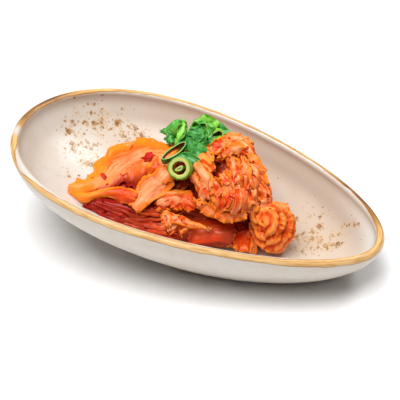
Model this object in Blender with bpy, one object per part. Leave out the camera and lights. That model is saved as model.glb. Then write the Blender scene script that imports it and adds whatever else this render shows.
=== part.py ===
"""An egg-shaped stoneware bowl of cabbage kimchi, topped with sliced spring onion.

Metres, +Z up. The origin is on the table, under the middle of the bowl's length and width. +X runs along
the bowl to its low, narrow end, and -Y is its front.
"""

import math

import bmesh
import bpy
from mathutils import Matrix, Vector, noise

# The rim seen from above: an egg with its small end at +X, leaning a little towards the back.
HALF_LENGTH = 0.090
HALF_WIDTH = 0.054
NARROWING = -0.21
FULLNESS = 0.05
SKEW = 0.0047

# The rim seen from the side: high at -X and low at +X.
RIM_MEAN = 0.0354
RIM_FALL = -0.0129
RIM_SWEEP = 0.0020
RIM_LEAN = -0.0030

# The wall: it rises from the foot in one round sweep to an upright lip.
FOOT_SHARE = 0.48
FOOT_X = 0.0225
FOOT_Y = 0.0012
SWEEP_POWER = 0.54
WALL = 0.0040
FLOOR = 0.0048
INSIDE_FLOOR_SHARE = 0.40
INSIDE_POWER = 0.60
SHOULDER = 0.0011
SHOULDER_DEPTH = 0.0075
SHOULDER_REACH = 0.0035
FOOT_RING = 0.0045
FOOT_RECESS = 0.0012

TURNS = 72
WALL_STEPS = 10
LIP_STEPS = 4

# The food.
GAP = 0.0003
GRAIN = 0.0011
HEAP_DETAIL = 0.108
CLOSED_ABOVE = 0.12

MM = 0.001


def finish(colour, roughness, name):
    """A plain material of one colour."""
    material = bpy.data.materials.new(name)
    material.use_nodes = True
    shader = material.node_tree.nodes["Principled BSDF"]
    shader.inputs["Base Color"].default_value = (*colour, 1)
    shader.inputs["Roughness"].default_value = roughness
    material.diffuse_color = (*colour, 1)
    return material


def add(name, bm, material=None):
    """Turns a finished bmesh into an object of the scene."""
    bmesh.ops.recalc_face_normals(bm, faces=bm.faces)
    mesh = bpy.data.meshes.new(name)
    bm.to_mesh(mesh)
    bm.free()
    mesh.shade_smooth()
    mesh.set_sharp_from_angle(angle=math.radians(40))
    piece = bpy.data.objects.new(name, mesh)
    bpy.context.scene.collection.objects.link(piece)
    if material:
        mesh.materials.append(material)
    return piece


def loft(bm, rings, closed=False):
    """Skins the rings one after another. Closed, the last joins the first. Open, both ends are capped."""
    loops = [[bm.verts.new(point) for point in ring] for ring in rings]
    for lower, upper in zip(loops, loops[1:] + loops[:1] if closed else loops[1:]):
        for i in range(len(lower)):
            bm.faces.new((lower[i - 1], lower[i], upper[i], upper[i - 1]))
    if not closed:
        bm.faces.new(loops[0])
        bm.faces.new(loops[-1])


def cutter(piece):
    """Keeps a helper out of the model."""
    piece.hide_render = True
    piece.display_type = "WIRE"
    return piece


def boolean(piece, operation, other):
    modifier = piece.modifiers.new(f"{operation} {other.name}", "BOOLEAN")
    modifier.operation = operation
    modifier.object = other


# ---- The bowl ----


def plan(turn):
    """The rim seen from above, at an angle from +X."""
    along, across = math.cos(turn), math.sin(turn)
    half = HALF_WIDTH * (1 + NARROWING * along + FULLNESS * along**2)
    return Vector((HALF_LENGTH * along, half * across + SKEW * (1 - along**2), 0))


ANGLES = [2 * math.pi * i / TURNS for i in range(TURNS)]
MIDDLE_Y = (max(plan(turn).y for turn in ANGLES) + min(plan(turn).y for turn in ANGLES)) / 2


def rim_height(turn):
    along, across = math.cos(turn), math.sin(turn)
    return RIM_MEAN + RIM_FALL * along + RIM_SWEEP * along**2 + RIM_LEAN * across


def outwards(turn):
    """The level direction square to the rim."""
    ahead = plan(turn + 0.01) - plan(turn - 0.01)
    return Vector((ahead.y, -ahead.x, 0)).normalized()


def wall_point(turn, rise, inset=0.0, floor=0.0, share=FOOT_SHARE, power=SWEEP_POWER):
    """A point of the wall. rise runs from 0 at the foot to 1 under the lip."""
    top = rim_height(turn) - WALL / 2
    sweep = rise * math.pi / 2
    height = floor + (top - floor) * (1 - math.cos(sweep)) ** power
    rim = plan(turn) - inset * outwards(turn)
    hold = 1 - math.sin(sweep)
    spread = share * hold + 1 - hold
    return Vector((FOOT_X * hold + rim.x * spread, FOOT_Y * hold + rim.y * spread - MIDDLE_Y, height))


def inside_point(turn, rise, gap=0.0):
    """A point of the wall's inner face, which swells a little at a shoulder below the lip."""
    depth = wall_point(turn, 1).z - wall_point(turn, rise, 0, FLOOR, INSIDE_FLOOR_SHARE, INSIDE_POWER).z
    swell = SHOULDER * math.exp(-(((depth - SHOULDER_DEPTH) / SHOULDER_REACH) ** 2))
    return wall_point(turn, rise, WALL + swell + gap, FLOOR + gap, INSIDE_FLOOR_SHARE, INSIDE_POWER)


def lip_point(turn, roll):
    """A point of the rounded lip. roll runs from 0 outside to 1 inside."""
    middle = wall_point(turn, 1, WALL / 2)
    swing = math.pi * roll
    return middle + WALL / 2 * (math.cos(swing) * outwards(turn) + math.sin(swing) * Vector((0, 0, 1)))


def foot_ring(share, height):
    """A level ring under the bowl, at a share of the foot's own outline."""
    heart = Vector((FOOT_X, FOOT_Y - MIDDLE_Y, 0))
    ring = []
    for turn in ANGLES:
        edge = wall_point(turn, 0)
        ring.append(heart + (edge - heart) * share + Vector((0, 0, height)))
    return ring


def bowl():
    foot_width = 2 * HALF_WIDTH * FOOT_SHARE
    step_in = 1 - 2 * FOOT_RING / foot_width
    chamfer = 1 - 2 * FOOT_RECESS / foot_width
    rings = [foot_ring(step_in - (1 - chamfer), FOOT_RECESS), foot_ring(step_in, 0), foot_ring(chamfer, 0)]
    rings += [[wall_point(turn, (step + 0.3) / WALL_STEPS) for turn in ANGLES] for step in range(WALL_STEPS)]
    rings += [[lip_point(turn, step / LIP_STEPS) for turn in ANGLES] for step in range(LIP_STEPS + 1)]
    inner = [step / WALL_STEPS for step in range(WALL_STEPS - 1, -1, -1)]
    rings += [[inside_point(turn, rise) for turn in ANGLES] for rise in inner]
    bm = bmesh.new()
    loft(bm, rings)
    return add("bowl", bm, finish((0.72, 0.67, 0.60), 0.25, "glazed_stoneware"))


def cavity():
    """The room inside the bowl, a gap clear of its wall and open far above it."""
    rises = [step / WALL_STEPS for step in range(WALL_STEPS + 1)]
    rings = [[inside_point(turn, rise, GAP) for turn in ANGLES] for rise in rises]
    rings.append([Vector((point.x, point.y, CLOSED_ABOVE)) for point in rings[-1]])
    bm = bmesh.new()
    loft(bm, rings)
    return cutter(add("cavity", bm))


# ---- The kimchi: pieces of pickled cabbage, fused into one heap ----


def at(x, y, z):
    """A place in millimetres, from the middle of the egg's long axis."""
    return Vector((x * MM, y * MM - MIDDLE_Y, z * MM))


def along_path(points, share):
    """A smooth curve through a few points, at a share of its run."""
    place = share * (len(points) - 1)
    i = min(int(place), len(points) - 2)
    t = place - i
    before, after = points[max(i - 1, 0)], points[min(i + 2, len(points) - 1)]
    a, b = points[i], points[i + 1]
    return 0.5 * (2 * a + (b - before) * t + (2 * before - 5 * a + 4 * b - after) * t**2
                  + (3 * a - before - 3 * b + after) * t**3)


def cut_leaf(bm, spine, half_widths, thickness, faces, cup=0.0, ruffle=0.0, waves=3, steps=16, across=5):
    """A strip of cabbage. It follows a spine, looks towards faces, cups its edges and ruffles them."""
    path = [at(*point) for point in spine]
    look = Vector(faces).normalized()
    rings = []
    for i in range(steps + 1):
        share = i / steps
        middle = along_path(path, share)
        ahead = along_path(path, min(share + 0.02, 1)) - along_path(path, max(share - 0.02, 0))
        side = ahead.cross(look).normalized()
        up = side.cross(ahead).normalized()
        rounded = math.sqrt(max(1 - (2 * share - 1) ** 8, 0.02))
        half = along_path(half_widths, share) * MM * rounded
        thick = thickness * MM * rounded
        over, under = [], []
        for j in range(across + 1):
            v = 2 * j / across - 1
            lift = cup * half * v * v + ruffle * MM * v * v * math.sin(2 * math.pi * waves * share + 2 * v)
            edge = math.sqrt(1.08 - v * v)
            spot = middle + side * half * v + up * lift
            over.append(spot + up * thick * edge / 2)
            under.append(spot - up * thick * edge / 2)
        rings.append(over + under[::-1])
    loft(bm, rings)


def crumple(bm, centre, radii, turn, ridges, depth, lean=0.0, seed=0):
    """A balled-up leaf: an egg-shaped lump under ridges that run down its length."""
    lump = bmesh.ops.create_icosphere(bm, subdivisions=4, radius=1)["verts"]
    place = Matrix.Translation(at(*centre)) @ Matrix.Rotation(turn, 4, "Z") @ Matrix.Rotation(lean, 4, "X")
    for vert in lump:
        p = vert.co.copy()
        wander = noise.noise(p * 1.7 + Vector((seed, 0, 0)))
        fold = abs(math.sin(ridges * (p.y + 0.35 * wander) + seed)) - 0.5
        knob = noise.noise(p * 3.1 + Vector((0, seed, 0)))
        size = 1 + depth * fold + 0.8 * depth * knob
        vert.co = place @ Vector([p[k] * radii[k] * MM * size for k in range(3)])


def rolled_leaf(bm, centre, radius, height, faces, coils, depth):
    """A leaf rolled up like a rose: a thick disc with coiled ridges on its open face."""
    lump = bmesh.ops.create_icosphere(bm, subdivisions=4, radius=1)["verts"]
    turned = Vector(faces).to_track_quat("Z", "Y").to_matrix().to_4x4()
    for vert in lump:
        p = vert.co.copy()
        reach = math.hypot(p.x, p.y)
        coil = math.cos(2 * math.pi * coils * reach + math.atan2(p.y, p.x))
        p.z = p.z * height + (depth * coil * (1 - reach**4) if p.z > 0 else 0)
        p.x, p.y = p.x * radius, p.y * radius
        vert.co = at(*centre) + (turned @ p) * MM


def kimchi():
    bm = bmesh.new()
    # The mound that everything lies on.
    crumple(bm, (-8, 4, 14), (48, 24, 13), 0.0, 5, 0.10, seed=1)
    crumple(bm, (12, 9, 25), (26, 20, 14), 0.2, 6, 0.12, seed=2)
    crumple(bm, (-30, 6, 21), (26, 17, 12), -0.1, 6, 0.10, seed=3)
    crumple(bm, (-11, 14, 33), (16, 11, 9.5), 0.0, 5, 0.10, seed=8)
    # The broad stem at the left, its folded hem, and the pale stem over its end.
    cut_leaf(bm, [(-60, -17, 27), (-53, -9, 28), (-41, 2, 33), (-17, 5, 38)], (3, 6.5, 12, 11), 4.5,
             (-0.2, -0.6, 0.95), cup=0.16, ruffle=0.5)
    cut_leaf(bm, [(-57, -21, 26), (-47, -18, 26), (-39, -13, 27), (-27, -13, 28), (-16, -14, 28)],
             (4, 4, 4.5, 5, 5), 3.5, (-0.1, -0.9, 0.7), cup=0.3, ruffle=0.6)
    cut_leaf(bm, [(-24, -16, 24), (-18, -10, 31), (-11, -2, 38)], (4.5, 6.5, 8), 4, (-0.2, -0.8, 0.7), cup=0.2)
    # Striped leaves that lie low along the front.
    cut_leaf(bm, [(-50, -20, 22), (-36, -19, 19), (-20, -20, 18), (-4, -21, 18)], (6, 8, 8, 6), 3,
             (0.1, -0.7, 0.8), cup=-0.2, ruffle=0.7)
    cut_leaf(bm, [(-27, -21, 18), (-17, -14, 22), (-5, -7, 25)], (5, 5.5, 5), 3, (0.2, -0.8, 0.8), cup=-0.2)
    cut_leaf(bm, [(-14, -9, 25), (-7, -8, 28), (1, -6, 29)], (6, 6.5, 5), 4, (0, -0.8, 0.8), cup=-0.3, ruffle=0.8)
    cut_leaf(bm, [(-9, -18, 20), (-1, -16, 21), (9, -14, 20)], (3.5, 4, 3), 2.5, (0.1, -0.6, 0.9), ruffle=1.0)
    cut_leaf(bm, [(-2, -19, 15), (11, -15, 18), (25, -11, 18)], (6, 7, 6), 4, (0.1, -0.6, 0.8), cup=-0.12)
    # Balled-up leaves at the right.
    crumple(bm, (10, 3, 32), (12, 10, 12), -0.9, 8, 0.16, lean=0.5, seed=4)
    crumple(bm, (10, 20, 37), (15, 10, 9), 0.1, 7, 0.16, lean=0.3, seed=5)
    crumple(bm, (20, 13, 32), (11, 11, 10), -0.6, 7, 0.16, lean=0.3, seed=6)
    crumple(bm, (30, 6, 25), (8, 9, 10), -0.5, 6, 0.16, lean=0.4, seed=7)
    rolled_leaf(bm, (39, -5, 20), 12.5, 9, (0.15, -0.65, 0.8), 2.2, 1.3)
    # A small leaf curled into a cup at the front.
    cut_leaf(bm, [(24, -17, 11), (26, -12, 19), (31, -13, 19), (35, -18, 11)], (4.5, 5, 5, 4.5), 2.5,
             (0.1, -0.9, 0.4), cup=-0.1)
    heap = add("kimchi", bm, finish((0.78, 0.22, 0.06), 0.3, "kimchi"))
    fuse = heap.modifiers.new("Fuse", "REMESH")
    fuse.mode = "VOXEL"
    fuse.voxel_size = GRAIN
    thin = heap.modifiers.new("Facets", "DECIMATE")
    thin.ratio = HEAP_DETAIL
    return heap


# ---- The spring onion: short slices of hollow leaf ----


def onion_slice(name, centre, axis, radii, length, wall, roll=0.0, crumple=0.0, lobes=3, flare=0.0, sides=20,
                colour=(0.30, 0.52, 0.10)):
    """A slice of a hollow leaf, cut square at both ends, and the plug that clears its bed."""
    turned = Vector(axis).to_track_quat("Z", "Y").to_matrix() @ Matrix.Rotation(roll, 3, "Z")

    def ring(height, inset):
        points = []
        for i in range(sides):
            turn = 2 * math.pi * i / sides
            shape = 1 + crumple * math.cos(lobes * turn + 4 * height / length) + flare * height / length
            outline = Vector(((radii[0] - inset) * math.cos(turn), (radii[1] - inset) * math.sin(turn), 0))
            points.append(at(*centre) + turned @ (outline * shape + Vector((0, 0, height))) * MM)
        return points

    low, high = -length / 2, length / 2
    bm = bmesh.new()
    loft(bm, [ring(low, 0), ring(0, 0), ring(high, 0), ring(high, wall), ring(0, wall), ring(low, wall)], closed=True)
    add(name, bm, finish(colour, 0.35, name))

    clear = GAP / MM
    plug = bmesh.new()
    loft(plug, [ring(low - clear, -clear), ring(0, -clear), ring(high + clear, -clear)])
    return cutter(add(f"{name}_clearance", plug))


def spring_onion():
    """Every slice on top of the heap. Returns the plugs that cut their beds into it."""
    return [
        onion_slice("onion_ring_front", (-7, -3.7, 43.2), (-0.05, -0.80, 0.60), (4.8, 5.4), 6, 1.4, flare=-0.06),
        onion_slice("onion_ring_core", (-6.6, -4.1, 43.4), (0.10, -0.80, 0.60), (1.9, 2.2), 5, 0.8, sides=12),
        onion_slice("onion_ring_flat", (-12.3, 4.5, 45.3), (0.22, -0.42, 0.88), (8.2, 2.6), 5, 0.9, roll=0.54),
        onion_slice("onion_curl_left", (-18.3, 17.5, 47), (0.98, -0.16, 0.10), (4.2, 5.2), 5, 0.9, crumple=0.06),
        onion_slice("onion_curl_back", (-5.5, 18, 49.3), (-0.1, -0.75, 0.65), (5.9, 5.7), 6, 0.9, crumple=0.13, lobes=5),
        onion_slice("onion_curl_right", (4.6, 20.5, 48.5), (0.3, -0.8, 0.5), (2.5, 3.1), 5, 0.9, crumple=0.1),
    ]


for leftover in list(bpy.data.objects):
    bpy.data.objects.remove(leftover)

bowl()
heap = kimchi()
boolean(heap, "INTERSECT", cavity())
for plug in spring_onion():
    boolean(heap, "DIFFERENCE", plug)
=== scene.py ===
"""The looks of a bowl of kimchi: the glazed bowl, the cut cabbage in it and the spring onion on top."""

import math

import bmesh
import bpy
import numpy as np
from mathutils import Matrix, Vector
from mathutils.bvhtree import BVHTree


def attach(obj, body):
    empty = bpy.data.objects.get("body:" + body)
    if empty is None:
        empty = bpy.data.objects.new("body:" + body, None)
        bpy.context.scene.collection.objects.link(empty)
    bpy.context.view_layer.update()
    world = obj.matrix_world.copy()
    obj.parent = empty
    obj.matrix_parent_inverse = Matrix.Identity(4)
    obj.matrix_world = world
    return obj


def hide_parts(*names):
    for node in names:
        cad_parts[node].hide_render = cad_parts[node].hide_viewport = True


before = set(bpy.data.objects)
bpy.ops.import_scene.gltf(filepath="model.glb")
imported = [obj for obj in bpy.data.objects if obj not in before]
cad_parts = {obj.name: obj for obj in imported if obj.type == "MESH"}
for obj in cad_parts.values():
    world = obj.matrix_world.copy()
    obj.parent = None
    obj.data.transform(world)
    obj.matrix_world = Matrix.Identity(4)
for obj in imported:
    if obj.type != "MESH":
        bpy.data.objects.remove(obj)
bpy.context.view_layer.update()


# ---- The bowl ----
# An egg-shaped bowl of stoneware, thrown and then pressed out of round, so its lip rises at one end. It
# wears a cream glaze flecked with iron. The lip is banded with a brown glaze that broke over the cream.

HALF_LENGTH, HALF_WIDTH, NARROWING, FULLNESS, SKEW = 0.090, 0.054, -0.21, 0.05, 0.0047
RIM_MEAN, RIM_FALL, RIM_SWEEP, RIM_LEAN = 0.0354, -0.0129, 0.0020, -0.0030
FOOT_SHARE, FOOT_X, FOOT_Y, SWEEP_POWER = 0.48, 0.0225, 0.0012, 0.54
WALL, FLOOR, INSIDE_FLOOR_SHARE, INSIDE_POWER = 0.0040, 0.0048, 0.40, 0.60
SHOULDER, SHOULDER_DEPTH, SHOULDER_REACH = 0.0006, 0.0075, 0.0035
FOOT_RING, FOOT_RECESS = 0.0045, 0.0012
AROUND = 288


def plan(turn):
    """The rim seen from above, at angles from +X, as x and y."""
    along, across = np.cos(turn), np.sin(turn)
    half = HALF_WIDTH * (1 + NARROWING * along + FULLNESS * along**2)
    return np.stack([HALF_LENGTH * along, half * across + SKEW * (1 - along**2)], -1)


TURNS = np.linspace(0, 2 * np.pi, 73)
MIDDLE_Y = (plan(TURNS)[:, 1].max() + plan(TURNS)[:, 1].min()) / 2


def rim_height(turn):
    along, across = np.cos(turn), np.sin(turn)
    return RIM_MEAN + RIM_FALL * along + RIM_SWEEP * along**2 + RIM_LEAN * across


def outwards(turn):
    """The level direction square to the rim."""
    ahead = plan(turn + 0.01) - plan(turn - 0.01)
    square = np.stack([ahead[..., 1], -ahead[..., 0]], -1)
    return square / np.linalg.norm(square, axis=-1, keepdims=True)


def wall_point(turn, rise, inset=0.0, floor=0.0, share=FOOT_SHARE, power=SWEEP_POWER):
    """Points of the wall. rise runs from 0 at the foot to 1 under the lip."""
    top = rim_height(turn) - WALL / 2
    sweep = rise * np.pi / 2
    height = floor + (top - floor) * (1 - np.cos(sweep)) ** power
    rim = plan(turn) - np.asarray(inset)[..., None] * outwards(turn)
    hold = (1 - np.sin(sweep))[..., None]
    level = np.array([FOOT_X, FOOT_Y]) * hold + rim * (share * hold + 1 - hold) - np.array([0, MIDDLE_Y])
    return np.concatenate([level, np.asarray(height)[..., None]], -1)


def inside_point(turn, rise, gap=0.0):
    """Points of the wall's inner face, which swells a little at a shoulder below the lip."""
    crown = wall_point(turn, np.ones_like(turn))[..., 2]
    depth = crown - wall_point(turn, rise, 0, FLOOR, INSIDE_FLOOR_SHARE, INSIDE_POWER)[..., 2]
    swell = SHOULDER * np.exp(-(((depth - SHOULDER_DEPTH) / SHOULDER_REACH) ** 2))
    return wall_point(turn, rise, WALL + swell + gap, FLOOR + gap, INSIDE_FLOOR_SHARE, INSIDE_POWER)


def foot_point(turn, share, height):
    """Points of a level ring under the bowl, at a share of the foot's own outline."""
    heart = np.array([FOOT_X, FOOT_Y - MIDDLE_Y, 0])
    ring = heart + (wall_point(turn, np.zeros_like(turn)) - heart) * share
    ring[..., 2] = height
    return ring


def profile(turn, station):
    """The section of the bowl, from the middle of its underside, up its wall, over the lip and in again.

    Stations: 0 to 1 underside, 1 to 2 foot ring, 2 to 3 outer wall, 3 to 4 lip, 4 to 5 inner wall, 5 to 6
    floor.
    """
    foot_width = 2 * HALF_WIDTH * FOOT_SHARE
    step_in, chamfer = 1 - 2 * FOOT_RING / foot_width, 1 - 2 * FOOT_RECESS / foot_width
    t = station - min(int(station), 5)
    if station < 1:
        return foot_point(turn, (step_in - 0.05) * t, FOOT_RECESS)
    if station < 2:
        bottom = np.interp(t, [0, 0.25, 0.75, 1], [step_in - 0.05, step_in, chamfer, 1.0])
        lift = np.interp(t, [0, 0.15, 0.3, 0.8, 1], [FOOT_RECESS, 0.0003, 0, 0, 0.0004])
        return foot_point(turn, bottom, lift)
    if station < 3:
        return wall_point(turn, np.full_like(turn, 0.03 + 0.97 * t))
    if station < 4:
        middle = wall_point(turn, np.ones_like(turn), WALL / 2)
        swing = np.pi * t
        side = np.concatenate([outwards(turn), np.zeros_like(turn)[..., None]], -1)
        return middle + WALL / 2 * (math.cos(swing) * side + math.sin(swing) * np.array([0, 0, 1]))
    if station < 5:
        return inside_point(turn, np.full_like(turn, 1 - t))
    edge = inside_point(turn, np.zeros_like(turn))
    heart = edge.mean(axis=0)
    return heart + (edge - heart) * (1 - t)


STATIONS = np.concatenate([first + np.linspace(0, 1, count, endpoint=first == 5)
                           for first, count in enumerate((8, 8, 44, 16, 48, 10))])


def hum(points, grain, seed=0):
    """Smooth noise between about -1 and 1, at points in metres, with features about a grain in size."""
    rng = np.random.default_rng(seed)
    total = np.zeros(len(points))
    for i in range(9):
        way = rng.normal(size=3)
        way *= rng.uniform(0.6, 1.5) / np.linalg.norm(way)
        total += np.sin(points @ way * 2 * np.pi / (2.4 * grain) + rng.uniform(0, 6.3) + 0.7 * total)
    return total / 3.2


def near_turn(turn, middle, reach):
    """1 close to an angle in degrees, falling smoothly to 0 at a reach from it."""
    off = (np.degrees(turn) - middle + 180) % 360 - 180
    return np.clip(1.5 - np.abs(off) / reach, 0, 1)


def new_mesh(layers=()):
    """An empty mesh. Its vertices carry a number on each layer, for a material to read."""
    bm = bmesh.new()
    for name in layers:
        bm.verts.layers.float.new(name)
    return bm


def set_verts(bm, verts, places, values):
    """Moves vertices to their places, and gives each its number on every layer that values names."""
    for name, numbers in values.items():
        layer = bm.verts.layers.float[name]
        for vert, number in zip(verts, numbers):
            vert[layer] = number
    for vert, place in zip(verts, places):
        vert.co = place


def new_piece(name, bm):
    """Makes a piece of its own out of a mesh that is done."""
    mesh = bpy.data.meshes.new(name)
    bm.to_mesh(mesh)
    bm.free()
    mesh.shade_smooth()
    piece = bpy.data.objects.new(name, mesh)
    bpy.context.scene.collection.objects.link(piece)
    return piece


GLAZE_LAYERS = ("round_the_lip", "band_inner", "band_outer", "dark", "bare", "warm", "shoulder", "painted_sheen",
                "freckled")
grid = new_mesh(GLAZE_LAYERS)
bmesh.ops.create_grid(grid, x_segments=AROUND, y_segments=len(STATIONS) - 1, size=0.5)
column = np.round([(vert.co.x + 0.5) * AROUND for vert in grid.verts]).astype(int)
row = np.round([(vert.co.y + 0.5) * (len(STATIONS) - 1) for vert in grid.verts]).astype(int)
turn_of = column * 2 * np.pi / AROUND
places = np.zeros((len(grid.verts), 3))
for number, station in enumerate(STATIONS):
    mine = row == number
    places[mine] = profile(turn_of[mine], station)
station_of = STATIONS[row]

# The band on the lip, in millimetres from the lip's crest: its two limits, and where it is dark or bare.
lip = 1000 * WALL / 2 * np.pi * (station_of - 3.5)
crest_z = rim_height(turn_of)
down = 1000 * (crest_z - WALL / 2 - places[:, 2])
round_the_lip = np.where(station_of < 3, -np.pi - down, np.where(station_of > 4, np.pi + down, lip))
degrees = np.degrees(turn_of)
band_inner = np.interp(degrees, [0, 20, 40, 80, 110, 140, 165, 200, 207, 217, 227, 240, 310, 330, 345, 360],
                       [2.3, 1.6, 0.8, 0.8, 1.2, 2.0, 2.6, 2.2, 0, -2.3, -0.4, 0.3, 0.5, 1.6, 2.3, 2.3])
band_outer = np.interp(degrees, [0, 40, 180, 215, 240, 300, 330, 360],
                       [-4, -4.6, -4.6, -3.8, -3.3, -3.3, -3.7, -4])
dark = np.clip(1.3 * near_turn(turn_of, 169, 15) + 1.1 * near_turn(turn_of, 35, 16), 0, 1)
bare = near_turn(turn_of, 191, 3)

# Inside, the glaze is warmer and greyer to the right. Below the lip, a taupe band of painted shade lies at
# the back right where the wall turns steep, and a painted bluish sheen at the low end.
far_in = np.clip((station_of - 3.6) / 0.4, 0, 1)
warm = far_in * np.clip(0.2 + 0.8 * near_turn(turn_of, 60, 70), 0, 1)
# Painted shade: a taupe band below the lip at the back right, where the wall turns steep.
shoulder = far_in * np.exp(-(((down - 7.5) / 3.2) ** 2)) * near_turn(turn_of, 55, 45)
# Painted sheen: a bluish band below the lip at the low end.
painted_sheen = far_in * np.exp(-(((down - 3.0) / 3.5) ** 2)) * near_turn(turn_of, -5, 35)

# Where the iron came through: the middle of each freckled patch in millimetres, its reach and its strength.
PATCHES = [((-73, 20, 36), 4, 2.0), ((-62, 30, 31), 4, 2.0), ((-51, 36, 28), 5, 2.0), ((-64, 15, 27), 5, 2.0),
           ((-58, 10, 23), 5, 2.2), ((-63, 7, 25), 4, 1.6), ((-68, 33, 39), 8, 0.9), ((-56, 32, 29), 13, 0.7),
           ((-42, 38, 25), 10, 0.6), ((-70, 15, 31), 9, 0.7), ((-73, 4, 31), 3, 1.0), ((-64, -4, 25), 5, 0.9),
           ((-66, -12, 27), 7, 0.8), ((-60, 25, 30), 24, 0.3), ((49, 9, 5), 6, 4.0), ((56, 9, 6), 5, 3.2),
           ((63, 9, 9), 5, 2.2), ((55, 14, 8), 4, 2.4), ((60, 16, 11), 16, 0.4), ((53, 26, 14), 6, 0.8),
           ((69, 18, 17), 7, 0.8), ((26, 38, 17), 3.5, 3.0), ((44, 25, 11), 8, 0.6), ((10, 49, 29), 3, 1.2),
           ((-9, 51, 32), 2.5, 1.4)]
freckled = np.full(len(places), 0.25)
for middle, reach, strength in PATCHES:
    off = np.linalg.norm(places * 1000 + [0, 1000 * MIDDLE_Y, 0] - middle, axis=1) / reach
    freckled += strength * np.exp(-(off**2))
freckled *= np.where(station_of < 3.6, 0.4, 1.0)
glaze_values = (round_the_lip, band_inner, band_outer, dark, bare, warm, shoulder, painted_sheen, freckled)
set_verts(grid, grid.verts, places, dict(zip(GLAZE_LAYERS, glaze_values)))
bmesh.ops.remove_doubles(grid, verts=grid.verts, dist=1e-6)
bmesh.ops.recalc_face_normals(grid, faces=grid.faces)
glazed_bowl = new_piece("glazed_bowl", grid)


def node(kind, values=None, **settings):
    """Adds a node to the material in hand. Its inputs are set to values, or linked if those are sockets."""
    made = tree.nodes.new("ShaderNode" + kind)
    for name, setting in settings.items():
        setattr(made, name, setting)
    for name, value in (values or {}).items():
        if isinstance(value, bpy.types.NodeSocket):
            tree.links.new(value, made.inputs[name])
        else:
            made.inputs[name].default_value = value
    return made


def sums(operation, a, b=0.0, c=0.0):
    return node("Math", {0: a, 1: b, 2: c}, operation=operation).outputs[0]


def times(a, b):
    return sums("MULTIPLY", a, b)


def swayed(value, noise, amount):
    """A value pushed up and down by noise that runs from 0 to 1."""
    return sums("MULTIPLY_ADD", sums("SUBTRACT", noise, 0.5), amount, value)


def ramp(value, low, high, start=0.0, end=1.0):
    """Turns a value into a smooth step from start, at low, to end, at high."""
    values = {"Value": value, "From Min": low, "From Max": high, "To Min": start, "To Max": end}
    return node("MapRange", values, interpolation_type="SMOOTHSTEP").outputs["Result"]


def tint(share, under, over):
    """Lays one colour over another, as far as share says."""
    return node("Mix", {0: share, 6: under, 7: over}, data_type="RGBA").outputs[2]


def object_places():
    return node("TexCoord").outputs["Object"]


def noise_of(places, scale, detail, warp=0.0):
    values = {"Vector": places, "Scale": scale, "Detail": detail, "Distortion": warp}
    return node("TexNoise", values).outputs["Fac"]


def clouds(size, detail=2.0, warp=0.0):
    """Noise from 0 to 1 with features about a size in metres, on Object coordinates."""
    return noise_of(object_places(), 1 / size, detail, warp)


def attribute(name):
    return node("Attribute", attribute_name=name).outputs["Fac"]


def shade(red, green, blue):
    """A colour given as 0 to 255 on a screen, in the linear light that the shader works in."""
    return (*[((c / 255 + 0.055) / 1.055) ** 2.4 if c > 10 else c / 3294 for c in (red, green, blue)], 1)


def new_material(name, **values):
    """Starts a material. Its tree and shader come back with it, and make it the one that is in hand."""
    material = bpy.data.materials.new(name)
    material.use_nodes = True
    shader = material.node_tree.nodes["Principled BSDF"]
    for socket, value in values.items():
        shader.inputs[socket.replace("_", " ")].default_value = value
    return material, material.node_tree, shader


def coat_with(colour, bumps, strength, distance):
    """Gives the material in hand its colour, and bumps of a height in metres."""
    tree.links.new(colour, shader.inputs["Base Color"])
    bump = node("Bump", {"Height": bumps, "Strength": strength, "Distance": distance})
    tree.links.new(bump.outputs["Normal"], shader.inputs["Normal"])


CREAM, CREAM_WARM, CREAM_GREY = shade(211, 203, 194), shade(208, 196, 181), shade(192, 181, 172)
# The second colour here is painted shade below the lip, and the third a painted sheen.
INSIDE, TAUPE_SHADE, BLUISH_SHEEN = shade(197, 180, 161), shade(176, 158, 143), shade(216, 214, 208)
GOLD, GOLD_DEEP, BROWN = shade(226, 184, 122), shade(206, 156, 90), shade(146, 96, 50)
DARK_BROWN, FRECKLE, HALO = shade(112, 66, 32), shade(118, 86, 52), shade(204, 172, 124)

glaze, tree, shader = new_material("glazed_stoneware", Roughness=0.34, Specular_IOR_Level=0.35,
                                   Coat_Weight=0.15, Coat_Roughness=0.16)
body_colour = tint(ramp(clouds(0.018, 3), 0.35, 0.7), CREAM, CREAM_WARM)
body_colour = tint(ramp(clouds(0.004, 4), 0.45, 0.75, 0, 0.3), body_colour, CREAM_GREY)
body_colour = tint(attribute("warm"), body_colour, INSIDE)
# Painted shade in the taupe band below the lip at the back right.
body_colour = tint(times(attribute("shoulder"), 0.8), body_colour, TAUPE_SHADE)
# Painted bluish sheen below the lip at the low end.
body_colour = tint(times(attribute("painted_sheen"), 0.9), body_colour, BLUISH_SHEEN)


def flecks(cell, most, ragged, seed):
    """Iron spots: at most one to a cell, of any size up to most of it, and more where the glaze is freckled.

    They come back as the spots, the softer halos round them and a chance for each.
    """
    noise = node("TexNoise", {"Vector": object_places(), "Scale": 1 / (ragged * cell), "Detail": 3})
    shaken = node("VectorMath", {0: noise.outputs["Color"], 3: 0.8 * cell}, operation="SCALE").outputs[0]
    moved = node("VectorMath", {0: object_places(), 1: shaken}, operation="ADD").outputs[0]
    moved = node("VectorMath", {0: moved, 1: (seed, 0, 0)}, operation="ADD").outputs[0]
    spots = node("TexVoronoi", {"Vector": moved, "Scale": 1 / cell})
    chance = node("SeparateColor", {0: spots.outputs["Color"]})
    size = sums("MULTIPLY_ADD", chance.outputs[0], -1.7, attribute("freckled"))
    size = times(sums("MINIMUM", sums("MAXIMUM", size, 0), 1), most)
    discs = [ramp(spots.outputs["Distance"], outer, sums("SUBTRACT", times(size, inner), 0.001))
             for outer, inner in ((size, 0.35), (times(size, 1.5), 0.5))]
    return *discs, chance.outputs[1]


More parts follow.
